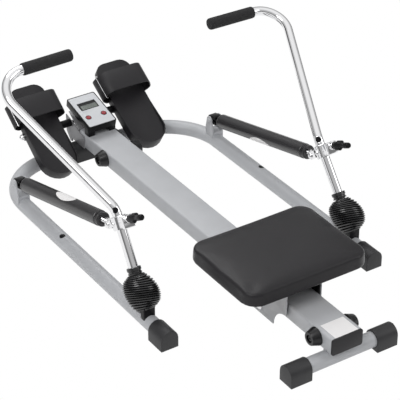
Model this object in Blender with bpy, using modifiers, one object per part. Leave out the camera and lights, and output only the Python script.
"""Hydraulic rowing machine, modelled in metres with +Z up and +Y toward the console.

The origin is the middle of the flat underside of the front foot, on the plane of symmetry.
Left means -X and right means +X, as the rower sees them.
"""

import math

import bmesh
import bpy
from mathutils import Matrix, Vector

for old in list(bpy.data.objects):
    bpy.data.objects.remove(old, do_unlink=True)

# Fits
GAP = 0.0003                 # between pieces that touch
RUNNING = 0.0006             # between a turning piece and its pin

# Ground frame: a U shaped tube lying down, open to the rear
TUBE_R = 0.02275
TUBE_WALL = 0.0015
TUBE_Z = 0.031               # height of its centre line
LEG_X = 0.350
LEG_REAR_Y = -1.012
BEND_R = 0.190
FOOT_WIDTH = 0.0556
FOOT_LENGTH = 0.069
FOOT_WALL = 0.005
FRONT_FOOT_HALF = 0.098
FRONT_FOOT_DEPTH = 0.060
STABILIZER_HALF = 0.1778
STABILIZER_Y = -1.3069

# Rail
RAIL_WIDTH = 0.1016
RAIL_HEIGHT = 0.0511
RAIL_BOTTOM = 0.058
RAIL_CORNER = 0.007
RAIL_WALL = 0.002
RAIL_REAR_Y = -1.3377
RAIL_FRONT_Y = 0.028
END_CAP_THICKNESS = 0.005
END_CAP_PLUG = 0.020
RAIL_TOP = RAIL_BOTTOM + RAIL_HEIGHT
RAIL_HALF = RAIL_WIDTH / 2

# Rubber stops beside the rail
STOP_REAR_Y = -1.269
STOP_FRONT_Y = -0.167
STOP_ROOT_R = 0.027
STOP_TIP_R = 0.0195
STOP_LENGTH = 0.025
STOP_HEAD_R = 0.0085
STOP_HEAD_THICKNESS = 0.005
STOP_RECESS = 0.008
STOP_RECESS_R = 0.0115

# Carriage under the seat
CARRIAGE_Y = -1.020
CARRIAGE_HALF_LENGTH = 0.123
CARRIAGE_OUTER = 0.059
CARRIAGE_SHEET = 0.003
CARRIAGE_BOTTOM = 0.013
CARRIAGE_TOP = 0.160
CARRIAGE_SCALLOP_R = 0.060
LINER_THICKNESS = 0.0036
LINER_HALF_LENGTH = 0.119
LINER_BOTTOM = 0.087
LINER_TOP_SHEET = 0.002
TOP_ROLLER_R = 0.018
TOP_ROLLER_OFFSET = 0.078
LOW_ROLLER_R = 0.0215
ROLLER_HALF = 0.045
ROLLER_EDGE = 0.002
ROLLER_AXLE_R = 0.005
DOME_R = 0.010
DOME_HEIGHT = 0.008

# Seat
SEAT_BOARD_THICKNESS = 0.005
SEAT_BOARD_INSET = 0.030
PAD_HALF_WIDTH = 0.205
PAD_HALF_LENGTH = 0.160
PAD_HEIGHT = 0.048
PAD_CROWN = 0.008
PAD_CORNER = 0.060
PAD_DRAW_IN = 0.007

# Pedal axle and the bracket that carries it
AXLE_Y = 0.0385
AXLE_Z = 0.1145
AXLE_R = 0.006
NUT_R = 0.010
NUT_HEIGHT = 0.015
BRACKET_SHEET = 0.0032
BRACKET_REAR_Y = -0.045
HOOD_REAR_Y = -0.012
HOOD_FRONT_Y = 0.073
HOOD_RISE = 0.0231
HOOD_FRONT_HALF = 0.040
HOOD_REAR_STEP = 0.004
CHEEK_FRONT_Y = 0.066
CHEEK_CORNER_Z = 0.075
CHEEK_TOE_Y = 0.042
CHEEK_TOE_Z = 0.047
CHEEK_BOTTOM_Z = 0.049
CHEEK_SHOULDER = 0.010
SPACER_R = 0.01225

# Foot plates
PLATE_INNER_X = 0.099
PLATE_WIDTH = 0.123
PLATE_HEEL = -0.172
PLATE_TOE = 0.150
PLATE_TOE_R = 0.035
PLATE_FACE = 0.030
PLATE_RIM = 0.028
PLATE_WALL = 0.003
PLATE_BOSS_R = 0.013
HEEL_CUP_HEIGHT = 0.016
HEEL_CUP_START = -0.020
HEEL_CUP_WALL = 0.004
PLATE_TILT_LEFT = math.radians(36.0)
PLATE_TILT_RIGHT = math.radians(32.0)
STRAP_START = 0.025
STRAP_WIDTH = 0.074
STRAP_THICKNESS = 0.003
STRAP_REACH = 0.0915
STRAP_RISE = 0.043
STRAP_UNDER_HALF = 0.067
STRAP_TOP_HALF = 0.070
STRAP_SIDE_Z = 0.024
STRAP_UNDER_R = 0.012
STRAP_SIDE_R = 0.020
STRAP_TOP_R = 0.030
BUCKLE_WIRE_R = 0.0014
BUCKLE_OVERHANG = 0.005

# Console
CONSOLE_Y = -0.00495
CONSOLE_Z = 0.1645
CONSOLE_TILT = math.radians(13.8)
CONSOLE_HALF_WIDTH = 0.050
CONSOLE_HALF_LENGTH = 0.0738
CONSOLE_DEPTH = 0.022
FACE_BORDER = 0.0035
FACE_THICKNESS = 0.0015
FACE_CORNER = 0.004
LCD_HALF_WIDTH = 0.032
LCD_HALF_LENGTH = 0.0175
LCD_Y = 0.023
LCD_THICKNESS = 0.0024
LCD_RECESS = 0.0008
BUTTON_X = 0.0277
BUTTON_Y = -0.029
BUTTON_R = 0.0075
BUTTON_RING = 0.0017
BUTTON_STAND = 0.0018
BUTTON_DEPTH = 0.007
BUTTON_TRAVEL = 0.0012
CONSOLE_LEG_OUTER = 0.0485
CONSOLE_LEG_WIDTH = 0.022
CONSOLE_LEG_REAR_Y = -0.068
CONSOLE_LEG_LENGTH = 0.026
CONSOLE_NECK_HALF = 0.022
CONSOLE_NECK_REAR_Y = -0.008
CONSOLE_NECK_FRONT_Y = 0.030

# Rowing arms
OAR_X = 0.352
OAR_Y = -0.8671
OAR_Z = 0.1096
OAR_TILT_LEFT = math.radians(31.28)
OAR_TILT_RIGHT = math.radians(38.05)
OAR_R = 0.014
OAR_WALL = 0.0015
OAR_START = 0.034
OAR_LOWER_LENGTH = 0.2356
OAR_MIDDLE_LENGTH = 0.5056
OAR_TOP_LENGTH = 0.265
OAR_KNEE_R = 0.070
OAR_TOP_R = 0.075
OAR_FORWARD = math.radians(23.35)
OAR_OUTWARD = math.radians(20.76)
OAR_TOP_TURN = math.radians(108.3)
FORK_BRIDGE = 0.009
FORK_PRONG_HALF = 0.006
FORK_WASHER = 0.006
GRIP_R = 0.018
GRIP_LENGTH = 0.158
GRIP_END_WALL = 0.004

# Universal joint at the foot of each arm
JOINT_EAR_INNER = 0.0103
JOINT_EAR_SHEET = 0.004
JOINT_EAR_R = 0.008
JOINT_PIN_R = 0.004
JOINT_BLOCK_R = 0.0095
SADDLE_HALF_WIDTH = 0.026
SADDLE_HALF_LENGTH = 0.028
SADDLE_TOP = 0.0600
SADDLE_BOTTOM = 0.040

# Rubber boot over the joint
BOOT_R = 0.049
BOOT_BOTTOM = 0.0615
BOOT_FOOT_R = 0.026
BOOT_FOOT_LENGTH = 0.007
BOOT_BORE_STEPS = 7
BOOT_SIDES = 12
BOOT_NECK_R = 0.0195
BOOT_NECK_LENGTH = 0.018
BOOT_TOP = 0.064
BOOT_BEND_TANGENT = 0.034
BOOT_RIBS = 15
BOOT_RIB_DEPTH = 0.0042
BOOT_WALL = 0.003

# Clamp on the arm with the clevis for the cylinder
CLAMP_CENTRE = 0.197
CLAMP_HEIGHT = 0.038
CLAMP_R = 0.0225
CLEVIS_REACH = 0.050
CLEVIS_INNER = 0.011
CLEVIS_SHEET = 0.004
CLEVIS_R = 0.012
CLEVIS_PIN_R = 0.005
CLEVIS_BOLT_R = 0.0095
CLEVIS_BOLT_HEIGHT = 0.0065
CLAMP_LUG = 0.041
CLAMP_LUG_HALF = 0.013
CLAMP_LUG_ROOT = 0.010
CLAMP_LUG_BELOW = 0.014
CLAMP_LUG_ABOVE = 0.018
JAW_THICKNESS = 0.0155
JAW_HALF_WIDTH = 0.017
JAW_HALF_HEIGHT = 0.018
KNOB_OFFSET = 0.007
KNOB_STUD_R = 0.004
KNOB_STUD = 0.027
KNOB_HUB_R = 0.0115
KNOB_SHOULDER = 0.030
KNOB_TIP_R = 0.0085
KNOB_TIP_EDGE = 0.002
KNOB_LENGTH = 0.086
KNOB_WING_SPAN = 0.032
KNOB_WING_THICKNESS = 0.011
KNOB_WING_START = 0.003
KNOB_WING_LENGTH = 0.044
KNOB_TURN = math.radians(35.0)
JAW_DROP_LEFT = 0.0
JAW_DROP_RIGHT = math.radians(12.0)

# Hydraulic cylinders
FRONT_Y = -0.176
FRONT_Z = 0.103
CYLINDER_R = 0.023
CYLINDER_WALL = 0.0032
CYLINDER_NOSE = 0.034
CYLINDER_SHOULDER = 0.046
CYLINDER_END = 0.517
CYLINDER_NOSE_R = 0.013
CYLINDER_FLOOR = 0.012
CAP_LENGTH = 0.017
CAP_STEP = 0.0016
ROD_R = 0.007
PISTON_AT = 0.300
PISTON_LENGTH = 0.020
LOOP_CLEARANCE = 0.0135
BLADE_THICKNESS = 0.006
BLADE_HALF_HEIGHT = 0.011
BLADE_LENGTH = 0.0085
KNUCKLE_HALF = 0.0155
KNUCKLE_BACK = 0.012
KNUCKLE_FRONT = 0.026
KNUCKLE_HALF_HEIGHT = 0.015
KNUCKLE_MOUTH = 0.0055
YAW_PIN = 0.015
YAW_PIN_R = 0.004
TONGUE_THICKNESS = 0.009
TONGUE_R = 0.009
POST_EAR_INNER = 0.016
POST_EAR_SHEET = 0.004
POST_HALF_LENGTH = 0.020
POST_TOP_R = 0.0135
POST_SHOULDER = 0.030
POST_WEB_TOP = 0.064
POST_BOTTOM = 0.040
POST_BOLT_R = 0.0045
POST_BOLT_HEAD_R = 0.009
POST_BOLT_HEAD = 0.006

X = Vector((1, 0, 0))
Y = Vector((0, 1, 0))
Z = Vector((0, 0, 1))
SIDES = (("left", -1), ("right", 1))


def collection(name):
    made = bpy.data.collections.new(name)
    bpy.context.scene.collection.children.link(made)
    return made


PARTS = collection("hydraulic_rowing_machine")
TOOLS = collection("cutters")


def material(name, colour, roughness, metallic=0.0):
    made = bpy.data.materials.new(name)
    made.use_nodes = True
    shader = made.node_tree.nodes["Principled BSDF"]
    shader.inputs["Base Color"].default_value = (*colour, 1.0)
    shader.inputs["Roughness"].default_value = roughness
    shader.inputs["Metallic"].default_value = metallic
    return made


SILVER_PAINT = material("silver_paint", (0.33, 0.34, 0.35), 0.42, 0.3)
DARK_SILVER = material("dark_silver_paint", (0.22, 0.22, 0.23), 0.45, 0.3)
CHROME = material("chrome", (0.80, 0.80, 0.80), 0.12, 1.0)
STEEL = material("steel", (0.55, 0.55, 0.55), 0.30, 1.0)
BLACK_PLASTIC = material("black_plastic", (0.018, 0.018, 0.020), 0.45)
BLACK_PAINT = material("black_paint", (0.035, 0.034, 0.036), 0.30)
RUBBER = material("rubber", (0.015, 0.015, 0.016), 0.62)
FOAM = material("foam", (0.025, 0.025, 0.027), 0.90)
VINYL = material("vinyl", (0.045, 0.045, 0.047), 0.50)
BOARD = material("board", (0.30, 0.20, 0.11), 0.80)
FACE_GREY = material("face_grey", (0.62, 0.64, 0.65), 0.35)
LCD_GREEN = material("lcd_green", (0.10, 0.13, 0.10), 0.25)
BUTTON_RED = material("button_red", (0.55, 0.02, 0.04), 0.35)


def add_mesh(name, mesh, look):
    made = bpy.data.objects.new(name, mesh)
    mesh.materials.clear()
    mesh.materials.append(look)
    PARTS.objects.link(made)
    return made


def smooth(thing, degrees=35.0):
    thing.data.shade_smooth()
    thing.data.set_sharp_from_angle(angle=math.radians(degrees))


def from_bmesh(name, bm, look):
    bmesh.ops.recalc_face_normals(bm, faces=bm.faces)
    mesh = bpy.data.meshes.new(name)
    bm.to_mesh(mesh)
    bm.free()
    made = add_mesh(name, mesh, look)
    smooth(made)
    return made


def block(name, low, high, look):
    """Box between two opposite corners."""
    low, high = Vector(low), Vector(high)
    bm = bmesh.new()
    bmesh.ops.create_cube(bm, size=1.0)
    bmesh.ops.scale(bm, vec=high - low, verts=bm.verts)
    bmesh.ops.translate(bm, vec=(low + high) / 2, verts=bm.verts)
    return from_bmesh(name, bm, look)


def aim(direction):
    return Vector(direction).to_track_quat("Z", "Y").to_matrix().to_4x4()


def rod(name, start, end, radius, look, sides=20):
    """Round bar from start to end."""
    start, end = Vector(start), Vector(end)
    bm = bmesh.new()
    bmesh.ops.create_cone(
        bm, cap_ends=True, segments=sides, radius1=radius, radius2=radius, depth=(end - start).length)
    place = Matrix.Translation((start + end) / 2) @ aim(end - start)
    bmesh.ops.transform(bm, matrix=place, verts=bm.verts)
    return from_bmesh(name, bm, look)


def evaluated_mesh(thing):
    graph = bpy.context.evaluated_depsgraph_get()
    graph.update()
    return bpy.data.meshes.new_from_object(thing.evaluated_get(graph), depsgraph=graph)


def drop(thing):
    for modifier in thing.modifiers:
        if modifier.type == "BOOLEAN":
            drop(modifier.object)
    bpy.data.objects.remove(thing, do_unlink=True)


def to_mesh(thing, look):
    """Replaces a curve, or a mesh with modifiers, by the plain closed mesh that it evaluates to."""
    name = thing.name
    mesh = evaluated_mesh(thing)
    bm = bmesh.new()
    bm.from_mesh(mesh)
    bmesh.ops.remove_doubles(bm, verts=bm.verts, dist=0.000005)
    bm.to_mesh(mesh)
    bm.free()
    place = thing.matrix_basis.copy()
    drop(thing)
    made = add_mesh(name, mesh, look)
    made.matrix_basis = place
    smooth(made)
    return made


def turned(name, profile, look, start=(0, 0, 0), direction=Z, steps=24, ring=False):
    """Turned piece. Profile points are (radius, distance along direction), outer side first."""
    mesh = bpy.data.meshes.new(name)
    edges = [(i, i + 1) for i in range(len(profile) - 1)]
    if ring:
        edges.append((len(profile) - 1, 0))
    mesh.from_pydata([(radius, 0, height) for radius, height in profile], edges, [])
    made = add_mesh(name, mesh, look)
    screw = made.modifiers.new("turn", "SCREW")
    screw.steps = screw.render_steps = steps
    screw.use_merge_vertices = True
    screw.merge_threshold = 0.00001
    made.matrix_basis = Matrix.Translation(start) @ aim(direction)
    return to_mesh(made, look)


def plate(name, outline, thickness, look, origin=(0, 0, 0), across=X, up=Y, holes=()):
    """Flat piece: an outline in the plane of across and up, centred on origin in its thickness."""
    curve = bpy.data.curves.new(name, "CURVE")
    curve.dimensions = "2D"
    curve.fill_mode = "BOTH"
    curve.extrude = thickness / 2
    for points in (outline, *holes):
        spline = curve.splines.new("POLY")
        spline.points.add(len(points) - 1)
        for target, (u, v) in zip(spline.points, points):
            target.co = (u, v, 0, 1)
        spline.use_cyclic_u = True
    made = bpy.data.objects.new(name, curve)
    PARTS.objects.link(made)
    turn = Matrix((across, up, across.cross(up))).transposed().to_4x4()
    made.matrix_basis = Matrix.Translation(origin) @ turn
    return to_mesh(made, look)


def tube(name, points, radius, look, resolution=6, wall=None, radii=None):
    """Round bar or, with a wall, an open tube along a list of points."""
    curve = bpy.data.curves.new(name, "CURVE")
    curve.dimensions = "3D"
    curve.bevel_depth = radius
    curve.bevel_resolution = resolution
    curve.use_fill_caps = wall is None
    spline = curve.splines.new("POLY")
    spline.points.add(len(points) - 1)
    for index, point in enumerate(points):
        spline.points[index].co = (*point, 1)
        spline.points[index].radius = radii[index] / radius if radii else 1.0
    made = bpy.data.objects.new(name, curve)
    PARTS.objects.link(made)
    made = to_mesh(made, look)
    if wall:
        shell = made.modifiers.new("wall", "SOLIDIFY")
        shell.thickness = wall
        shell.offset = -1.0
        shell.use_even_offset = True
    return made


def bevel(thing, width, segments=2, degrees=40.0):
    edge = thing.modifiers.new("rounding", "BEVEL")
    edge.width = width
    edge.segments = segments
    edge.limit_method = "ANGLE"
    edge.angle_limit = math.radians(degrees)
    return thing


def use_tool(thing, tool, operation):
    step = thing.modifiers.new(tool.name, "BOOLEAN")
    step.operation = operation
    step.object = tool
    for owner in list(tool.users_collection):
        owner.objects.unlink(tool)
    TOOLS.objects.link(tool)
    tool.hide_render = True
    tool.display_type = "WIRE"


def cut(thing, *tools):
    for tool in tools:
        use_tool(thing, tool, "DIFFERENCE")
    return thing


def unite(thing, *tools):
    for tool in tools:
        use_tool(thing, tool, "UNION")
    return thing


def hang(parent, *things):
    """Parents pieces, with their cutters, to the empty on their joint."""
    for thing in things:
        thing.parent = parent
        for modifier in thing.modifiers:
            if modifier.type == "BOOLEAN":
                hang(parent, modifier.object)


def joint(name, location, matrix=None):
    made = bpy.data.objects.new(name, None)
    made.empty_display_size = 0.03
    PARTS.objects.link(made)
    made.matrix_basis = Matrix.Translation(location) @ (matrix or Matrix())
    return made


def arc(centre, radius, start, end, steps):
    """Points on a circle between two angles in degrees."""
    angles = [math.radians(start + (end - start) * i / steps) for i in range(steps + 1)]
    return [(centre[0] + radius * math.cos(a), centre[1] + radius * math.sin(a)) for a in angles]


def rounded_path(corners, radii, steps=8, closed=False):
    """A run through corners, each rounded by an arc of its own radius."""
    corners = [Vector(c) for c in corners]
    count = len(corners)
    points = []
    for i, corner in enumerate(corners):
        if not closed and i in (0, count - 1):
            points.append(corner)
            continue
        before = (corners[i - 1] - corner).normalized()
        after = (corners[(i + 1) % count] - corner).normalized()
        half = before.angle(after) / 2
        radius = radii[i]
        reach = radius / math.tan(half)
        centre = corner + (before + after).normalized() * (radius / math.sin(half))
        first = corner + before * reach - centre
        last = corner + after * reach - centre
        sweep = first.angle(last)
        for step in range(steps + 1):
            t = step / steps
            blend = (first * math.sin((1 - t) * sweep) + last * math.sin(t * sweep)) / math.sin(sweep)
            points.append(centre + blend)
    return points


def rounded_rectangle(half_width, half_height, radius, steps=4):
    corners = ((1, 1, 0), (-1, 1, 90), (-1, -1, 180), (1, -1, 270))
    points = []
    for sx, sy, turn in corners:
        centre = (sx * (half_width - radius), sy * (half_height - radius))
        points += arc(centre, radius, turn, turn + 90, steps)
    return points


def d_outline(width, drop_to_floor, steps=10):
    """Round on top and flat on the floor, about the centre line of the tube it holds."""
    half = width / 2
    return [(-half, -drop_to_floor), (half, -drop_to_floor), *arc((0, 0), half, 0, 180, steps)]


def d_cap(name, centre, inward, across):
    """Foot cap whose closed face is at centre and whose socket opens inward."""
    centre, inward = Vector(centre), Vector(inward)
    body = plate(name, d_outline(FOOT_WIDTH, TUBE_Z), FOOT_LENGTH, RUBBER,
                 centre + inward * FOOT_LENGTH / 2, Vector(across), Z)
    bevel(body, 0.003, 1)
    socket = rod(name + "_socket", centre + inward * FOOT_WALL,
                 centre + inward * (FOOT_LENGTH + 0.01), TUBE_R + GAP, RUBBER, 20)
    return cut(body, socket)


def frame_run():
    """Centre line of the U shaped tube."""
    end_y = LEG_REAR_Y + FOOT_WALL + GAP
    corners = [(-LEG_X, end_y, TUBE_Z), (-LEG_X, 0, TUBE_Z), (LEG_X, 0, TUBE_Z), (LEG_X, end_y, TUBE_Z)]
    return rounded_path(corners, [0, BEND_R, BEND_R, 0], steps=7)


def ground_frame():
    tube("side_frame_tube", frame_run(), TUBE_R, SILVER_PAINT, resolution=4, wall=TUBE_WALL)
    for name, side in SIDES:
        d_cap("side_frame_foot_" + name, (side * LEG_X, LEG_REAR_Y, TUBE_Z), Y, X)


def front_foot():
    half = FRONT_FOOT_DEPTH / 2
    top = RAIL_BOTTOM - GAP - TUBE_Z
    shoulder = math.degrees(math.asin(top / half))
    outline = [(-half, -TUBE_Z), (half, -TUBE_Z),
               *arc((0, 0), half, 0, shoulder, 5), *arc((0, 0), half, 180 - shoulder, 180, 5)]
    foot = plate("front_foot", outline, 2 * FRONT_FOOT_HALF, RUBBER, (0, 0, TUBE_Z), Y, Z)
    bevel(foot, 0.003, 1)
    reach = FRONT_FOOT_HALF + 0.01
    bore = rod("front_foot_bore", (-reach, 0, TUBE_Z), (reach, 0, TUBE_Z), TUBE_R + GAP, RUBBER, 24)
    cut(foot, bore)


def rail():
    outer = rounded_rectangle(RAIL_HALF, RAIL_HEIGHT / 2, RAIL_CORNER)
    inner = rounded_rectangle(RAIL_HALF - RAIL_WALL, RAIL_HEIGHT / 2 - RAIL_WALL, RAIL_CORNER - RAIL_WALL)
    rear = RAIL_REAR_Y + END_CAP_THICKNESS + GAP
    length = RAIL_FRONT_Y - rear
    middle_z = RAIL_BOTTOM + RAIL_HEIGHT / 2
    plate("main_rail", outer, length, SILVER_PAINT, (0, rear + length / 2, middle_z), X, Z, [inner])
    face = plate("rail_end_cap", outer, END_CAP_THICKNESS, BLACK_PLASTIC,
                 (0, RAIL_REAR_Y + END_CAP_THICKNESS / 2, middle_z), X, Z)
    plug_outline = rounded_rectangle(
        RAIL_HALF - RAIL_WALL - GAP, RAIL_HEIGHT / 2 - RAIL_WALL - GAP, RAIL_CORNER - RAIL_WALL - GAP)
    plug = plate("end_cap_plug", plug_outline, END_CAP_PLUG, BLACK_PLASTIC,
                 (0, RAIL_REAR_Y + END_CAP_PLUG / 2 + 0.001, middle_z), X, Z)
    unite(face, plug)


def stabilizer():
    inner_end = STABILIZER_HALF - FOOT_WALL - GAP
    bar = tube("rear_stabilizer", [(-inner_end, STABILIZER_Y, TUBE_Z), (inner_end, STABILIZER_Y, TUBE_Z)],
               TUBE_R, SILVER_PAINT, resolution=6, wall=TUBE_WALL)
    saddle_half = RAIL_HALF - RAIL_CORNER
    saddle = block("stabilizer_saddle", (-saddle_half, STABILIZER_Y - 0.016, TUBE_Z + TUBE_R - 0.007),
                   (saddle_half, STABILIZER_Y + 0.016, RAIL_BOTTOM - GAP), SILVER_PAINT)
    bore = rod("saddle_bore", (-inner_end, STABILIZER_Y, TUBE_Z), (inner_end, STABILIZER_Y, TUBE_Z),
               TUBE_R - TUBE_WALL / 2, SILVER_PAINT, 24)
    unite(bar, cut(saddle, bore))
    for name, side in SIDES:
        d_cap("stabilizer_foot_" + name, (side * STABILIZER_HALF, STABILIZER_Y, TUBE_Z), -side * X, Y)


def seat_stops():
    """Rubber cones beside the rail, each with the head of its bolt sunk in the tip."""
    z = RAIL_BOTTOM + RAIL_HEIGHT / 2
    floor = STOP_LENGTH - STOP_RECESS
    head = floor + STOP_HEAD_THICKNESS
    profile = [(0, head), (STOP_HEAD_R - 0.002, head), (STOP_HEAD_R, head - 0.002), (STOP_HEAD_R, floor),
               (STOP_RECESS_R, floor), (STOP_RECESS_R, STOP_LENGTH), (STOP_TIP_R - 0.002, STOP_LENGTH),
               (STOP_TIP_R, STOP_LENGTH - 0.002), (STOP_ROOT_R, 0.003), (STOP_ROOT_R, 0), (0, 0)]
    for end, y in (("rear", STOP_REAR_Y), ("front", STOP_FRONT_Y)):
        for name, side in SIDES:
            root = (side * (RAIL_HALF + GAP), y, z)
            turned("seat_stop_" + end + "_" + name, profile, RUBBER, root, side * X, 14)


def hood_height(y):
    """Underside of the sloped hood of the head bracket."""
    rise = HOOD_RISE / (HOOD_FRONT_Y - HOOD_REAR_Y)
    return RAIL_TOP + GAP + (y - HOOD_REAR_Y) * rise


def head_bracket():
    inner = RAIL_HALF + GAP
    middle = inner + BRACKET_SHEET / 2
    foot_front = FRONT_FOOT_DEPTH / 2 + 2 * GAP
    base = RAIL_BOTTOM + 0.001
    half_sheet = BRACKET_SHEET / 2
    shoulder = RAIL_TOP - RAIL_CORNER
    crest = HOOD_REAR_Y + HOOD_REAR_STEP
    outline = [(BRACKET_REAR_Y, base), (foot_front, base), (foot_front, CHEEK_BOTTOM_Z),
               (CHEEK_TOE_Y, CHEEK_TOE_Z), (CHEEK_FRONT_Y, CHEEK_CORNER_Z),
               (CHEEK_FRONT_Y, hood_height(CHEEK_FRONT_Y) + half_sheet),
               (crest, hood_height(crest) + half_sheet), (HOOD_REAR_Y - CHEEK_SHOULDER, shoulder),
               (BRACKET_REAR_Y, shoulder)]
    sheets = [plate("head_bracket" if side < 0 else "bracket_cheek", outline, BRACKET_SHEET, DARK_SILVER,
                    (side * middle, 0, 0), Y, Z) for side in (-1, 1)]
    outer = inner + BRACKET_SHEET
    slope = math.atan2(HOOD_RISE, HOOD_FRONT_Y - HOOD_REAR_Y)
    along = Vector((0, math.cos(slope), math.sin(slope)))
    length = (HOOD_FRONT_Y - HOOD_REAR_Y) / math.cos(slope)
    normal = X.cross(along)
    origin = Vector((0, HOOD_REAR_Y, hood_height(HOOD_REAR_Y))) + normal * half_sheet
    top = [(-outer, 0), (outer, 0), (HOOD_FRONT_HALF, length), (-HOOD_FRONT_HALF, length)]
    hood = plate("bracket_hood", top, BRACKET_SHEET, DARK_SILVER, origin, X, along)
    reach = outer + 0.01
    bore = rod("bracket_bore", (-reach, AXLE_Y, AXLE_Z), (reach, AXLE_Y, AXLE_Z), AXLE_R + GAP, STEEL, 16)
    cut(unite(sheets[0], sheets[1], hood), bore)


def pedal_axle():
    """Bar through the bracket and both foot plates, with a domed nut on each end, and its two spacers."""
    plate_outer = PLATE_INNER_X + PLATE_WIDTH
    dome_bolt("pedal_axle", plate_outer + GAP, AXLE_R, CHROME, (0, AXLE_Y, AXLE_Z), X, NUT_R, NUT_HEIGHT)
    bracket_side = RAIL_HALF + GAP + BRACKET_SHEET
    bore = AXLE_R + GAP
    length = PLATE_INNER_X - bracket_side - 2 * GAP
    ring = [(SPACER_R, length), (SPACER_R, 0), (bore, 0), (bore, length)]
    for name, side in SIDES:
        start = (side * (bracket_side + GAP), AXLE_Y, AXLE_Z)
        turned("axle_spacer_" + name, ring, BLACK_PLASTIC, start, side * X, 18, ring=True)


def plate_outline(inset):
    """Foot plate seen from above: round heel and a square toe with round corners."""
    half = PLATE_WIDTH / 2 - inset
    heel = arc((0, PLATE_HEEL + PLATE_WIDTH / 2), half, 180, 360, 12)
    toe_y = PLATE_TOE - inset
    radius = PLATE_TOE_R - inset
    right = arc((half - radius, toe_y - radius), radius, 0, 90, 5)
    left = arc((-half + radius, toe_y - radius), radius, 90, 180, 5)
    return heel + right + left


def strap_path():
    """Middle line of the strap across the foot: width, then height above the axle."""
    under = PLATE_FACE - PLATE_RIM - GAP - STRAP_THICKNESS / 2
    top = PLATE_FACE + STRAP_RISE
    right = [(STRAP_UNDER_HALF, under), (STRAP_REACH, STRAP_SIDE_Z), (STRAP_TOP_HALF, top)]
    left = [(-across, height) for across, height in reversed(right)]
    corners = [left[-1], *right, *left[:-1]]
    radii = [STRAP_UNDER_R, STRAP_UNDER_R, STRAP_SIDE_R, STRAP_TOP_R, STRAP_TOP_R, STRAP_SIDE_R]
    return [Vector(c) for c in corners], radii


def strap_outline(offset):
    corners, radii = strap_path()
    count = len(corners)
    moved = []
    for i, corner in enumerate(corners):
        before = (corner - corners[i - 1]).normalized()
        after = (corners[(i + 1) % count] - corner).normalized()
        outward = Vector((before.y + after.y, -before.x - after.x)).normalized()
        half = before.angle(after) / 2
        moved.append(corner + outward * offset / math.cos(half))
    return rounded_path(moved, [radius + offset for radius in radii], steps=4, closed=True)


def foot_plate(name, side, tilt):
    centre = side * (PLATE_INNER_X + PLATE_WIDTH / 2)
    pivot = joint(name + "_pedal_pivot", (centre, AXLE_Y, AXLE_Z), Matrix.Rotation(tilt, 4, "X"))
    floor = PLATE_FACE - PLATE_RIM
    body = plate("foot_plate_" + name, plate_outline(0), PLATE_RIM, BLACK_PLASTIC,
                 (0, 0, PLATE_FACE - PLATE_RIM / 2))
    hollow = plate("plate_hollow", plate_outline(PLATE_WALL), PLATE_RIM, BLACK_PLASTIC,
                   (0, 0, PLATE_FACE - PLATE_WALL - PLATE_RIM / 2))
    cup_middle = PLATE_FACE + HEEL_CUP_HEIGHT / 2 - 0.0005
    cup_wall = plate("heel_cup", plate_outline(0), HEEL_CUP_HEIGHT + 0.001, BLACK_PLASTIC,
                     (0, 0, cup_middle), holes=[plate_outline(HEEL_CUP_WALL)])
    high = PLATE_FACE + HEEL_CUP_HEIGHT
    low = PLATE_FACE - 0.0002
    rear, front = PLATE_HEEL - 0.01, PLATE_TOE + 0.01
    above = [(rear, high), (HEEL_CUP_START, low), (front, low), (front, high + 0.02), (rear, high + 0.02)]
    trim = plate("cup_trim", above, PLATE_WIDTH, BLACK_PLASTIC, (0, 0, 0), Y, Z)
    half = PLATE_WIDTH / 2
    boss = rod("plate_boss", (-half, 0, 0), (half, 0, 0), PLATE_BOSS_R, BLACK_PLASTIC, 20)
    web_half = PLATE_BOSS_R * 0.6
    web = block("plate_web", (-half + 0.001, -web_half, floor),
                (half - 0.001, web_half, PLATE_FACE - 0.001), BLACK_PLASTIC)
    bore = rod("plate_bore", (-half - 0.01, 0, 0), (half + 0.01, 0, 0), AXLE_R + GAP, BLACK_PLASTIC, 16)
    cut(body, hollow)
    unite(body, cut(cup_wall, trim), web, boss)
    cut(body, bore)
    strap = plate("foot_strap_" + name, strap_outline(STRAP_THICKNESS / 2), STRAP_WIDTH, RUBBER,
                  (0, STRAP_START + STRAP_WIDTH / 2, 0), Vector((-1, 0, 0)), Z,
                  holes=[strap_outline(-STRAP_THICKNESS / 2)])
    hang(pivot, body, strap, strap_buckle(name))


def strap_buckle(name):
    """Wire loop round the strap, on the -X side of either foot."""
    corners, _ = strap_path()
    low, high = corners[5], corners[4]
    middle = (low + high) / 2
    run = (high - low).normalized()
    normal = Vector((run.y, 0, -run.x))
    centre = Vector((middle.x, STRAP_START + STRAP_WIDTH / 2, middle.y))
    off = STRAP_THICKNESS / 2 + GAP + BUCKLE_WIRE_R
    long_half = STRAP_WIDTH / 2 + BUCKLE_OVERHANG
    corner = BUCKLE_WIRE_R * 1.3
    loop = [centre + normal * u + Y * v for u, v in
            [(-off, -long_half), (off, -long_half), (off, long_half), (-off, long_half)]]
    path = rounded_path(loop, [corner] * 4, steps=3, closed=True)
    curve = bpy.data.curves.new("strap_buckle_" + name, "CURVE")
    curve.dimensions = "3D"
    curve.bevel_depth = BUCKLE_WIRE_R
    curve.bevel_resolution = 2
    spline = curve.splines.new("POLY")
    spline.points.add(len(path) - 1)
    for target, point in zip(spline.points, path):
        target.co = (*point, 1)
    spline.use_cyclic_u = True
    made = bpy.data.objects.new("strap_buckle_" + name, curve)
    PARTS.objects.link(made)
    return to_mesh(made, CHROME)


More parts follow.
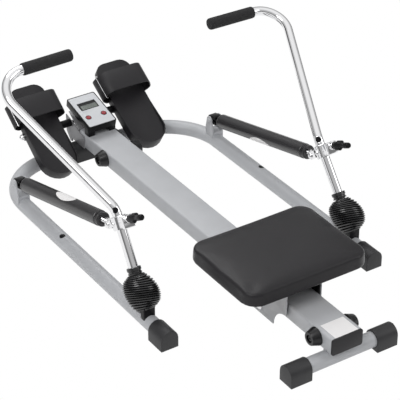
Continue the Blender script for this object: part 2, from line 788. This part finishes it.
def console():
    tilt = Matrix.Rotation(CONSOLE_TILT, 4, "X")
    centre = Vector((0, CONSOLE_Y, CONSOLE_Z))
    frame = joint("console_face_centre", centre, tilt)
    width, length = CONSOLE_HALF_WIDTH, CONSOLE_HALF_LENGTH
    case = plate("console_case", rounded_rectangle(width, length, 0.006, 3), CONSOLE_DEPTH, BLACK_PLASTIC,
                 (0, 0, -CONSOLE_DEPTH / 2))
    pocket_depth = FACE_THICKNESS + GAP
    face_width, face_length = width - FACE_BORDER, length - FACE_BORDER
    pocket = plate("face_pocket", rounded_rectangle(face_width + GAP, face_length + GAP, FACE_CORNER, 3),
                   2 * pocket_depth, BLACK_PLASTIC)
    lcd_floor = LCD_RECESS + LCD_THICKNESS + GAP
    lcd_pocket = block("lcd_pocket", (-LCD_HALF_WIDTH - GAP, LCD_Y - LCD_HALF_LENGTH - GAP, -lcd_floor),
                       (LCD_HALF_WIDTH + GAP, LCD_Y + LCD_HALF_LENGTH + GAP, 0.002), BLACK_PLASTIC)
    face = plate("console_face", rounded_rectangle(face_width, face_length, FACE_CORNER, 3),
                 FACE_THICKNESS, FACE_GREY, (0, 0, -FACE_THICKNESS / 2))
    window = block("lcd_window", (-LCD_HALF_WIDTH - GAP, LCD_Y - LCD_HALF_LENGTH - GAP, -0.01),
                   (LCD_HALF_WIDTH + GAP, LCD_Y + LCD_HALF_LENGTH + GAP, 0.01), FACE_GREY)
    lcd = block("console_lcd", (-LCD_HALF_WIDTH, LCD_Y - LCD_HALF_LENGTH, -LCD_RECESS - LCD_THICKNESS),
                (LCD_HALF_WIDTH, LCD_Y + LCD_HALF_LENGTH, -LCD_RECESS), LCD_GREEN)
    feet = console_feet(centre, tilt)
    for foot in feet:
        foot.matrix_basis = (Matrix.Translation(centre) @ tilt).inverted() @ foot.matrix_basis
    unite(case, *feet)
    cut(case, pocket, lcd_pocket)
    cut(face, window)
    well = BUTTON_R + GAP
    ring_r = well + BUTTON_RING
    floor = -(BUTTON_DEPTH + BUTTON_TRAVEL + GAP)
    for side in (-1, 1):
        x = side * BUTTON_X
        collar = turned("button_collar", [(0, 0.0006), (ring_r, 0.0006), (ring_r, -0.004), (0, -0.004)],
                        BLACK_PLASTIC, (x, BUTTON_Y, 0), Z, 20)
        hole = rod("button_well", (x, BUTTON_Y, floor), (x, BUTTON_Y, 0.01), well, BLACK_PLASTIC, 20)
        unite(case, collar)
        cut(case, hole)
        clear = rod("button_hole", (x, BUTTON_Y, -0.01), (x, BUTTON_Y, 0.01), ring_r + GAP, FACE_GREY, 20)
        cut(face, clear)
    hang(frame, case, face, lcd)
    for name, side in SIDES:
        seat = centre + tilt @ Vector((side * BUTTON_X, BUTTON_Y, 0))
        guide = joint(name + "_button_guide", seat, tilt)
        profile = [(0, BUTTON_STAND), (BUTTON_R * 0.6, BUTTON_STAND - 0.0001),
                   (BUTTON_R - 0.0006, BUTTON_STAND - 0.0005), (BUTTON_R, BUTTON_STAND - 0.0012),
                   (BUTTON_R, -BUTTON_DEPTH), (0, -BUTTON_DEPTH)]
        hang(guide, turned("console_button_" + name, profile, BUTTON_RED, steps=20))


def console_feet(centre, tilt):
    """Two short legs that stand on the rail and a neck that stands on the hood, under the tilted case."""
    under = centre + tilt @ Vector((0, 0, -CONSOLE_DEPTH / 2))
    slope = math.tan(CONSOLE_TILT)

    def case_height(y):
        return under.z + (y - under.y) * slope

    rear, front = CONSOLE_LEG_REAR_Y, CONSOLE_LEG_REAR_Y + CONSOLE_LEG_LENGTH
    foot = RAIL_TOP + GAP
    leg = [(rear, foot), (front, foot), (front, case_height(front)), (rear, case_height(rear))]
    pieces = []
    for side in (-1, 1):
        x = side * (CONSOLE_LEG_OUTER - CONSOLE_LEG_WIDTH / 2)
        pieces.append(plate("console_leg", leg, CONSOLE_LEG_WIDTH, BLACK_PLASTIC, (x, 0, 0), Y, Z))
    hood_top = BRACKET_SHEET / math.cos(math.atan2(HOOD_RISE, HOOD_FRONT_Y - HOOD_REAR_Y)) + GAP
    rear, front = CONSOLE_NECK_REAR_Y, CONSOLE_NECK_FRONT_Y
    neck = [(rear, hood_height(rear) + hood_top), (front, hood_height(front) + hood_top),
            (front, case_height(front)), (rear, case_height(rear))]
    pieces.append(plate("console_neck", neck, 2 * CONSOLE_NECK_HALF, BLACK_PLASTIC, (0, 0, 0), Y, Z))
    return pieces


def dome_bolt(name, half_grip, radius, look, middle=(0, 0, 0), direction=X, dome_r=DOME_R,
              dome_height=DOME_HEIGHT):
    """Pin with a domed head on each end; half_grip is where the heads begin."""
    top = half_grip + dome_height
    crown = [(dome_r * 0.6, top - dome_height * 0.14), (dome_r * 0.95, top - dome_height * 0.6)]
    half = [*crown, (dome_r, half_grip), (radius, half_grip)]
    profile = [(0, top), *half, *[(r, -at) for r, at in reversed(half)], (0, -top)]
    return turned(name, profile, look, middle, direction, 12)


def carriage_side(name, x):
    """Side plate with a concave quarter round at both lower corners."""
    half, low, high = CARRIAGE_HALF_LENGTH, CARRIAGE_BOTTOM, CARRIAGE_TOP
    outline = [*arc((-half, low), CARRIAGE_SCALLOP_R, 90, 0, 8),
               *arc((half, low), CARRIAGE_SCALLOP_R, 180, 90, 8), (half, high), (-half, high)]
    return plate(name, outline, CARRIAGE_SHEET, SILVER_PAINT, (x, CARRIAGE_Y, 0), Y, Z)


def roller(name, y, z, radius):
    axle = joint(name + "_axle", (0, y, z))
    bore = ROLLER_AXLE_R + RUNNING
    end, edge = ROLLER_HALF, ROLLER_EDGE
    profile = [(radius, end - edge), (radius, edge - end), (radius - edge, -end), (bore, -end), (bore, end),
               (radius - edge, end)]
    hang(axle, turned(name, profile, BLACK_PLASTIC, direction=X, steps=16, ring=True))


def carriage_liner():
    """Folded slide sheet inside the carriage: a side on each flank of the rail, a top over the rollers."""
    outer = CARRIAGE_OUTER - CARRIAGE_SHEET - GAP
    inner = outer - LINER_THICKNESS
    top = CARRIAGE_TOP - CARRIAGE_SHEET - GAP
    web = top - LINER_TOP_SHEET
    outline = [(-outer, LINER_BOTTOM), (-inner, LINER_BOTTOM), (-inner, web), (inner, web),
               (inner, LINER_BOTTOM), (outer, LINER_BOTTOM), (outer, top), (-outer, top)]
    return plate("carriage_liner", outline, 2 * LINER_HALF_LENGTH, BLACK_PLASTIC, (0, CARRIAGE_Y, 0), X, Z)


def carriage():
    outer = CARRIAGE_OUTER - CARRIAGE_SHEET / 2
    left = carriage_side("carriage_plates", -outer)
    right = carriage_side("carriage_right", outer)
    rear, front = CARRIAGE_Y - CARRIAGE_HALF_LENGTH, CARRIAGE_Y + CARRIAGE_HALF_LENGTH
    bridge = block("carriage_bridge", (-outer, rear, CARRIAGE_TOP - CARRIAGE_SHEET),
                   (outer, front, CARRIAGE_TOP), SILVER_PAINT)
    unite(left, right, bridge)
    liner = carriage_liner()
    top_z = RAIL_TOP + GAP + TOP_ROLLER_R
    low_z = RAIL_BOTTOM - GAP - LOW_ROLLER_R
    axles = [("front", CARRIAGE_Y + TOP_ROLLER_OFFSET, top_z, TOP_ROLLER_R),
             ("rear", CARRIAGE_Y - TOP_ROLLER_OFFSET, top_z, TOP_ROLLER_R),
             ("lower", CARRIAGE_Y, low_z, LOW_ROLLER_R)]
    reach = CARRIAGE_OUTER + 0.01
    for name, y, z, radius in axles:
        for sheet in (left, liner):
            if sheet is left or z > LINER_BOTTOM:
                hole = rod("axle_hole", (-reach, y, z), (reach, y, z), ROLLER_AXLE_R + GAP, STEEL, 16)
                cut(sheet, hole)
        dome_bolt("roller_axle_" + name, CARRIAGE_OUTER + GAP, ROLLER_AXLE_R, CHROME, (0, y, z))
        roller("roller_" + name, y, z, radius)


def seat():
    base = CARRIAGE_TOP + GAP
    width, length = PAD_HALF_WIDTH - SEAT_BOARD_INSET, PAD_HALF_LENGTH - SEAT_BOARD_INSET
    outline = rounded_rectangle(width, length, PAD_CORNER - SEAT_BOARD_INSET)
    middle = (0, CARRIAGE_Y, base + SEAT_BOARD_THICKNESS / 2)
    plate("seat_base", outline, SEAT_BOARD_THICKNESS, BOARD, middle)
    seat_pad(base + SEAT_BOARD_THICKNESS + GAP)


def pad_ring(inset, height, steps=5):
    """One outline of the cushion: round corners and slightly drawn in sides."""
    width, length, corner = PAD_HALF_WIDTH - inset, PAD_HALF_LENGTH - inset, PAD_CORNER - inset * 0.6
    ring = []
    for u, v in rounded_rectangle(width, length, max(corner, 0.012), steps):
        side_u = 1 - PAD_DRAW_IN / width * math.cos(math.pi / 2 * v / length) ** 2 * 0.4
        side_v = 1 - PAD_DRAW_IN / length * math.cos(math.pi / 2 * u / width) ** 2 * 0.4
        ring.append(Vector((u * side_u, v * side_v, height)))
    return ring


def seat_pad(bottom):
    side = PAD_HEIGHT - PAD_CROWN
    rings = [pad_ring(0.010, 0.0), pad_ring(0.003, 0.004), pad_ring(0.0, 0.014), pad_ring(0.0, side * 0.72),
             pad_ring(0.0025, side - 0.002), pad_ring(0.0055, side), pad_ring(0.009, side + 0.0022),
             pad_ring(0.026, side + 0.0048), pad_ring(0.055, side + PAD_CROWN * 0.86),
             pad_ring(0.095, side + PAD_CROWN)]
    bm = bmesh.new()
    rows = [[bm.verts.new(point) for point in ring] for ring in rings]
    count = len(rows[0])
    for lower, upper in zip(rows, rows[1:]):
        for i in range(count):
            j = (i + 1) % count
            bm.faces.new((lower[i], lower[j], upper[j], upper[i]))
    bm.faces.new(reversed(rows[0]))
    bm.faces.new(rows[-1])
    pad = from_bmesh("seat_pad", bm, VINYL)
    pad.location = (0, CARRIAGE_Y, bottom)


def pivot_bracket(name, side):
    """Saddle welded on the leg, with two ears that hold the joint of the arm."""
    x = side * OAR_X
    saddle = block("oar_pivot_bracket_" + name,
                   (x - SADDLE_HALF_WIDTH, OAR_Y - SADDLE_HALF_LENGTH, SADDLE_BOTTOM),
                   (x + SADDLE_HALF_WIDTH, OAR_Y + SADDLE_HALF_LENGTH, SADDLE_TOP), SILVER_PAINT)
    bevel(saddle, 0.003, 1)
    ear = [(-JOINT_EAR_R, SADDLE_TOP - 0.002 - OAR_Z), (JOINT_EAR_R, SADDLE_TOP - 0.002 - OAR_Z),
           *arc((0, 0), JOINT_EAR_R, 0, 180, 8)]
    offset = JOINT_EAR_INNER + JOINT_EAR_SHEET / 2
    ears = [plate("joint_ear", ear, JOINT_EAR_SHEET, SILVER_PAINT, (x + s * offset, OAR_Y, OAR_Z), Y, Z)
            for s in (-1, 1)]
    unite(saddle, *ears)
    leg = rod("leg_clearance", (side * LEG_X, OAR_Y - 0.05, TUBE_Z), (side * LEG_X, OAR_Y + 0.05, TUBE_Z),
              TUBE_R + GAP, STEEL, 24)
    pin = rod("pin_clearance", (x - 0.02, OAR_Y, OAR_Z), (x + 0.02, OAR_Y, OAR_Z), JOINT_PIN_R + GAP,
              STEEL, 12)
    cut(saddle, leg, pin)


def oar_directions(side):
    """Directions of the middle and the top run of the arm, in the frame of its lower run."""
    inward = Vector((-side, 0, 0))
    lean = math.sin(OAR_OUTWARD) * math.cos(OAR_FORWARD)
    middle = Vector((side * lean, math.sin(OAR_FORWARD), math.cos(OAR_OUTWARD) * math.cos(OAR_FORWARD)))
    square = (inward - middle * inward.dot(middle)).normalized()
    return middle, middle * math.cos(OAR_TOP_TURN) + square * math.sin(OAR_TOP_TURN)


def oar_tube(name, side):
    middle, top = oar_directions(side)
    knee = Z * OAR_LOWER_LENGTH
    elbow = knee + middle * OAR_MIDDLE_LENGTH
    end = elbow + top * (OAR_TOP_LENGTH - GRIP_END_WALL - GAP)
    path = rounded_path([Z * OAR_START, knee, elbow, end], [0, OAR_KNEE_R, OAR_TOP_R, 0], steps=6)
    shaft = tube("oar_tube_" + name, path, OAR_R, CHROME, resolution=3, wall=OAR_WALL)
    fork_r = OAR_R - OAR_WALL
    bridge = rod("fork_bridge", Z * (OAR_START - FORK_BRIDGE), Z * (OAR_START + FORK_BRIDGE),
                 fork_r + 0.0004, CHROME, 16)
    prong_at = JOINT_EAR_INNER + JOINT_EAR_SHEET / 2
    prong_r, prong_top = FORK_PRONG_HALF, OAR_START - FORK_WASHER
    outline = [(-prong_r, prong_top), *arc((0, 0), prong_r, 180, 360, 8), (prong_r, prong_top)]
    prongs = [plate("fork_prong", outline, JOINT_EAR_SHEET, CHROME, (0, s * prong_at, 0), X, Z)
              for s in (-1, 1)]
    washer = rod("fork_washer", Z * (OAR_START - 0.010), Z * (OAR_START - 0.010 + FORK_WASHER),
                 prong_at + JOINT_EAR_SHEET / 2, CHROME, 20)
    unite(shaft, bridge, washer, *prongs)
    cut(shaft, rod("fork_bore", (0, -0.02, 0), (0, 0.02, 0), JOINT_PIN_R + GAP, CHROME, 12))
    start = elbow + top * (OAR_TOP_LENGTH - GRIP_LENGTH)
    bore = OAR_R + GAP
    grip_end = GRIP_LENGTH - GRIP_END_WALL
    grip_profile = [(0, GRIP_LENGTH), (GRIP_R - 0.004, GRIP_LENGTH), (GRIP_R, GRIP_LENGTH - 0.004),
                    (GRIP_R, 0.002), (GRIP_R - 0.002, 0), (bore, 0), (bore, grip_end), (0, grip_end)]
    grip = turned("oar_grip_" + name, grip_profile, FOAM, start, top, 20)
    return shaft, grip


def jaw_turn(drop):
    """Turn of the jaw and its screw about the middle of the jaw, in the frame of the arm."""
    centre = Vector((0, -CLAMP_LUG - JAW_THICKNESS / 2, CLAMP_CENTRE))
    return Matrix.Translation(centre) @ Matrix.Rotation(drop, 4, "X") @ Matrix.Translation(-centre)


def oar_clamp(name, drop):
    """Clamp round the arm: clevis and its bolt in front, lug and pressure jaw behind."""
    half = CLAMP_HEIGHT / 2
    z = CLAMP_CENTRE
    body = rod("oar_clamp_" + name, Z * (z - half), Z * (z + half), CLAMP_R, CHROME, 20)
    ear_outer = CLEVIS_INNER + CLEVIS_SHEET
    root = block("clevis_root", (-ear_outer, 0.010, z - CLEVIS_R), (ear_outer, 0.030, z + CLEVIS_R), CHROME)
    outline = [(0.020, z - CLEVIS_R), *arc((CLEVIS_REACH, z), CLEVIS_R, -90, 90, 7), (0.020, z + CLEVIS_R)]
    ear_x = CLEVIS_INNER + CLEVIS_SHEET / 2
    ears = [plate("clevis_ear", outline, CLEVIS_SHEET, CHROME, (s * ear_x, 0, 0), Y, Z) for s in (-1, 1)]
    lug = block("clamp_lug", (-CLAMP_LUG_HALF, -CLAMP_LUG - 0.002, z - CLAMP_LUG_BELOW),
                (CLAMP_LUG_HALF, -CLAMP_LUG_ROOT, z + CLAMP_LUG_ABOVE), CHROME)
    screw_z = z + KNOB_OFFSET
    bore = rod("clamp_bore", Z * (z - half - 0.01), Z * (z + half + 0.01), OAR_R + GAP, CHROME, 20)
    back = -CLAMP_LUG - JAW_THICKNESS
    jaw = block("clamp_jaw", (-JAW_HALF_WIDTH, back, z - JAW_HALF_HEIGHT),
                (JAW_HALF_WIDTH, -CLAMP_LUG, z + JAW_HALF_HEIGHT), CHROME)
    bevel(jaw, 0.003, 1)
    screw = rod("screw_bore", (0, back - 0.01, screw_z), (0, back + KNOB_STUD + GAP, screw_z),
                KNOB_STUD_R + GAP, CHROME, 12)
    for thing in (jaw, screw):
        thing.matrix_basis = jaw_turn(drop) @ thing.matrix_basis
    bolt = dome_bolt("clevis_bolt", CLEVIS_INNER + CLEVIS_SHEET - GAP, CLEVIS_PIN_R, CHROME,
                     (0, CLEVIS_REACH, z), X, CLEVIS_BOLT_R, CLEVIS_BOLT_HEIGHT)
    unite(body, root, lug, jaw, *ears, bolt)
    cut(body, bore, screw)
    return body


def clamp_knob(name, jaw_place):
    """Wing knob with its stud, turning on the axis of its screw."""
    start = -(CLAMP_LUG + JAW_THICKNESS + GAP)
    guide = joint(name + "_knob_axis", jaw_place @ Vector((0, start, CLAMP_CENTRE + KNOB_OFFSET)),
                  jaw_place.to_3x3().to_4x4())
    back = Vector((0, -1, 0))
    stud = KNOB_STUD
    tip = KNOB_LENGTH - KNOB_TIP_EDGE
    profile = [(0, KNOB_LENGTH), (KNOB_TIP_R - KNOB_TIP_EDGE, KNOB_LENGTH), (KNOB_TIP_R, tip),
               (KNOB_HUB_R, KNOB_SHOULDER), (KNOB_HUB_R, 0), (KNOB_STUD_R, 0), (KNOB_STUD_R, -stud),
               (0, -stud)]
    hub = turned("clamp_knob_" + name, profile, BLACK_PLASTIC, (0, 0, 0), back, 16)
    turn = Matrix.Rotation(KNOB_TURN, 4, "Y")
    wing_half = KNOB_WING_SPAN / 2
    outline = rounded_rectangle(wing_half, KNOB_WING_LENGTH / 2, 0.008, 4)
    wing = plate("knob_wing", outline, KNOB_WING_THICKNESS, BLACK_PLASTIC,
                 (0, -KNOB_WING_START - KNOB_WING_LENGTH / 2, 0), turn @ Z, Y)
    bevel(wing, 0.002, 1)
    unite(hub, wing)
    hang(guide, hub)


def boot(name, side, tilt):
    """Bent rubber bellows: base upright on the leg, neck along the arm."""
    x = side * OAR_X
    pivot = Vector((x, OAR_Y, OAR_Z))
    along = Vector((0, math.sin(tilt), math.cos(tilt)))
    base = Vector((x, OAR_Y, BOOT_BOTTOM))
    top = pivot + along * BOOT_TOP
    bend = BOOT_BEND_TANGENT / math.tan(tilt / 2)
    line = rounded_path([base, pivot, top], [0, bend, 0], steps=24)
    travelled = [0.0]
    for first, second in zip(line, line[1:]):
        travelled.append(travelled[-1] + (second - first).length)
    total = travelled[-1]

    def at(distance):
        for i in range(1, len(line)):
            if distance <= travelled[i] or i == len(line) - 1:
                share = (distance - travelled[i - 1]) / (travelled[i] - travelled[i - 1])
                return line[i - 1].lerp(line[i], share)

    neck_start = total - BOOT_NECK_LENGTH
    body = neck_start - BOOT_FOOT_LENGTH

    def envelope(share):
        ends = BOOT_FOOT_R + (BOOT_NECK_R - BOOT_FOOT_R) * share + BOOT_RIB_DEPTH
        return ends + (BOOT_R - ends) * math.sin(math.pi * share ** 0.9) ** 0.7

    points, radii = [at(0.0), at(BOOT_FOOT_LENGTH)], [BOOT_FOOT_R, BOOT_FOOT_R]
    for rib in range(BOOT_RIBS):
        for shift, depth in ((0.2, BOOT_RIB_DEPTH), (0.7, 0.0)):
            share = (rib + shift) / BOOT_RIBS
            points.append(at(BOOT_FOOT_LENGTH + body * share))
            radii.append(envelope(share) - depth)
    points += [at(neck_start + 0.001), at(total)]
    radii += [BOOT_NECK_R, BOOT_NECK_R]
    skin = tube("boot_" + name, points, BOOT_R, RUBBER, resolution=BOOT_SIDES // 2 - 2, radii=radii)
    inner_points = [base - Z * 0.004, at(BOOT_FOOT_LENGTH)]
    inner_radii = [BOOT_FOOT_R - BOOT_WALL] * 2
    for step in range(1, BOOT_BORE_STEPS):
        share = step / BOOT_BORE_STEPS
        inner_points.append(at(BOOT_FOOT_LENGTH + body * share))
        inner_radii.append(envelope(share) - BOOT_RIB_DEPTH - BOOT_WALL)
    inner_points += [at(neck_start), top + along * 0.004]
    neck_bore = OAR_R / math.cos(math.pi / BOOT_SIDES) + GAP
    inner_radii += [neck_bore, neck_bore]
    hollow = tube("boot_hollow", inner_points, BOOT_R, RUBBER, resolution=BOOT_SIDES // 2 - 2,
                  radii=inner_radii)
    cut(skin, hollow)


def arm(name, side, tilt, drop):
    pivot = Vector((side * OAR_X, OAR_Y, OAR_Z))
    turn = Matrix.Rotation(-tilt, 4, "X")
    place = Matrix.Translation(pivot) @ turn
    swing = joint(name + "_arm_pivot", pivot, turn)
    full, eased = JOINT_BLOCK_R, JOINT_BLOCK_R * 0.8
    profile = [(0, full), (eased, full), (full, eased), (full, -eased), (eased, -full), (0, -full)]
    core = turned("oar_knuckle_" + name, profile, STEEL, direction=X, steps=16)
    reach = JOINT_EAR_INNER + JOINT_EAR_SHEET
    unite(core, rod("cross_pin", (-reach, 0, 0), (reach, 0, 0), JOINT_PIN_R, STEEL, 12),
          rod("side_pin", (0, -reach, 0), (0, reach, 0), JOINT_PIN_R, STEEL, 12))
    shaft, grip = oar_tube(name, side)
    hang(swing, core, shaft, grip, oar_clamp(name, drop))
    clamp_knob(name, place @ jaw_turn(drop))
    pivot_bracket(name, side)
    boot(name, side, tilt)
    return place


def cylinder_bracket(name, side):
    """Pinched channel on the leg that holds the front knuckle."""
    x = side * OAR_X
    outer = POST_EAR_INNER + POST_EAR_SHEET
    half, shoulder = POST_HALF_LENGTH, FRONT_Z - POST_SHOULDER
    outline = [(-half, POST_BOTTOM), (half, POST_BOTTOM), (half, shoulder),
               *arc((0, FRONT_Z), POST_TOP_R, 0, 180, 10), (-half, shoulder)]
    body = plate("cylinder_bracket_" + name, outline, 2 * outer, SILVER_PAINT, (x, FRONT_Y, 0), Y, Z)
    slot = block("bracket_slot", (x - POST_EAR_INNER, FRONT_Y - 0.05, POST_WEB_TOP),
                 (x + POST_EAR_INNER, FRONT_Y + 0.05, FRONT_Z + 0.05), SILVER_PAINT)
    leg = tube("frame_clearance", frame_run(), TUBE_R + GAP, SILVER_PAINT, resolution=4)
    cut(body, slot, leg)
    unite(body, dome_bolt("front_bolt", outer - GAP, POST_BOLT_R, CHROME, (x, FRONT_Y, FRONT_Z), X,
                          POST_BOLT_HEAD_R, POST_BOLT_HEAD))


def cylinder(name, side, oar_place):
    pivot = Vector((side * OAR_X, FRONT_Y, FRONT_Z))
    clevis = oar_place @ Vector((0, CLEVIS_REACH, CLAMP_CENTRE))
    line = clevis - pivot
    length = line.length
    pitch = math.atan2(line.z, -line.y)
    # local +Z runs from the front pivot to the clevis, local +X is world +X
    frame = Matrix.Rotation(math.pi / 2 - pitch, 4, "X")
    knuckle_pivot = joint(name + "_cylinder_pivot", pivot, frame)
    low = (-KNUCKLE_HALF, -KNUCKLE_HALF_HEIGHT, -KNUCKLE_BACK)
    high = (KNUCKLE_HALF, KNUCKLE_HALF_HEIGHT, KNUCKLE_FRONT)
    knuckle = bevel(block("cylinder_knuckle_" + name, low, high, BLACK_PLASTIC), 0.003, 1)
    slot_half = TONGUE_THICKNESS / 2 + GAP
    mouth = block("knuckle_mouth", (-0.03, -slot_half, KNUCKLE_MOUTH), (0.03, slot_half, 0.05),
                  BLACK_PLASTIC)
    bolt_bore = rod("knuckle_bore", (-0.03, 0, 0), (0.03, 0, 0), POST_BOLT_R + GAP, BLACK_PLASTIC, 12)
    pin_half = KNUCKLE_HALF_HEIGHT - 0.001
    pin = rod("yaw_pin", (0, -pin_half, YAW_PIN), (0, pin_half, YAW_PIN), YAW_PIN_R, BLACK_PLASTIC, 12)
    cut(knuckle, mouth, bolt_bore)
    unite(knuckle, pin)
    hang(knuckle_pivot, knuckle)

    yaw = joint(name + "_cylinder_yaw", pivot + line.normalized() * YAW_PIN, frame)

    def along(distance):
        return distance - YAW_PIN

    chamber = CYLINDER_R - CYLINDER_WALL
    bore = ROD_R + GAP
    cap = CYLINDER_END - CAP_LENGTH
    ridge = CYLINDER_R - CAP_STEP
    lip = ridge - CAP_STEP
    outer = [(0, CYLINDER_END), (lip - 0.002, CYLINDER_END), (lip, CYLINDER_END - 0.002),
             (lip, cap + 0.011), (ridge, cap + 0.010), (ridge, cap), (CYLINDER_R, cap - 0.001),
             (CYLINDER_R, CYLINDER_SHOULDER), (CYLINDER_NOSE_R, CYLINDER_NOSE), (0, CYLINDER_NOSE)]
    floor = CYLINDER_NOSE + CYLINDER_FLOOR
    inner = [(0, CYLINDER_END + 0.01), (bore, CYLINDER_END + 0.01), (bore, cap), (chamber, cap),
             (chamber, CYLINDER_SHOULDER + CYLINDER_FLOOR / 2), (CYLINDER_NOSE_R, floor), (0, floor)]
    body, hollow = (turned(piece, [(radius, along(at)) for radius, at in profile], BLACK_PAINT, steps=18)
                    for piece, profile in (("cylinder_body_" + name, outer), ("cylinder_hollow", inner)))
    cut(body, hollow)
    tongue_outline = [(-TONGUE_R, CYLINDER_NOSE - YAW_PIN + 0.004), *arc((0, 0), TONGUE_R, 180, 360, 10),
                      (TONGUE_R, CYLINDER_NOSE - YAW_PIN + 0.004)]
    tongue = plate("cylinder_tongue", tongue_outline, TONGUE_THICKNESS, BLACK_PAINT, (0, 0, 0), X, Z)
    unite(body, tongue)
    cut(body, rod("tongue_bore", (0, -0.02, 0), (0, 0.02, 0), YAW_PIN_R + GAP, BLACK_PAINT, 12))
    hang(yaw, body)

    slide = joint(name + "_cylinder_slide", pivot, frame)
    blade_end = length - CLEVIS_PIN_R - LOOP_CLEARANCE
    blade_start = blade_end - BLADE_LENGTH
    piston_r = chamber - GAP
    piston_front = PISTON_AT + PISTON_LENGTH
    rod_profile = [(0, blade_start + 0.004), (ROD_R, blade_start + 0.004), (ROD_R, piston_front),
                   (piston_r, piston_front), (piston_r, PISTON_AT), (0, PISTON_AT)]
    plunger = turned("cylinder_rod_" + name, rod_profile, CHROME, steps=20)
    half = BLADE_HALF_HEIGHT
    cup = CLEVIS_PIN_R + LOOP_CLEARANCE
    spread = math.degrees(math.asin(half / cup))
    blade = [(-half, blade_start), (half, blade_start),
             *arc((0, length), cup, 270 + spread, 270 - spread, 8)]
    unite(plunger, plate("rod_end", blade, BLADE_THICKNESS, BLACK_PAINT, (0, 0, 0), Y, Z))
    hang(slide, plunger)


def build():
    ground_frame()
    front_foot()
    rail()
    stabilizer()
    seat_stops()
    head_bracket()
    pedal_axle()
    for name, side, tilt in (("left", -1, PLATE_TILT_LEFT), ("right", 1, PLATE_TILT_RIGHT)):
        foot_plate(name, side, tilt)
    console()
    carriage()
    seat()
    for name, side, tilt, drop in (("left", -1, OAR_TILT_LEFT, JAW_DROP_LEFT),
                                   ("right", 1, OAR_TILT_RIGHT, JAW_DROP_RIGHT)):
        place = arm(name, side, tilt, drop)
        cylinder_bracket(name, side)
        cylinder(name, side, place)


build()
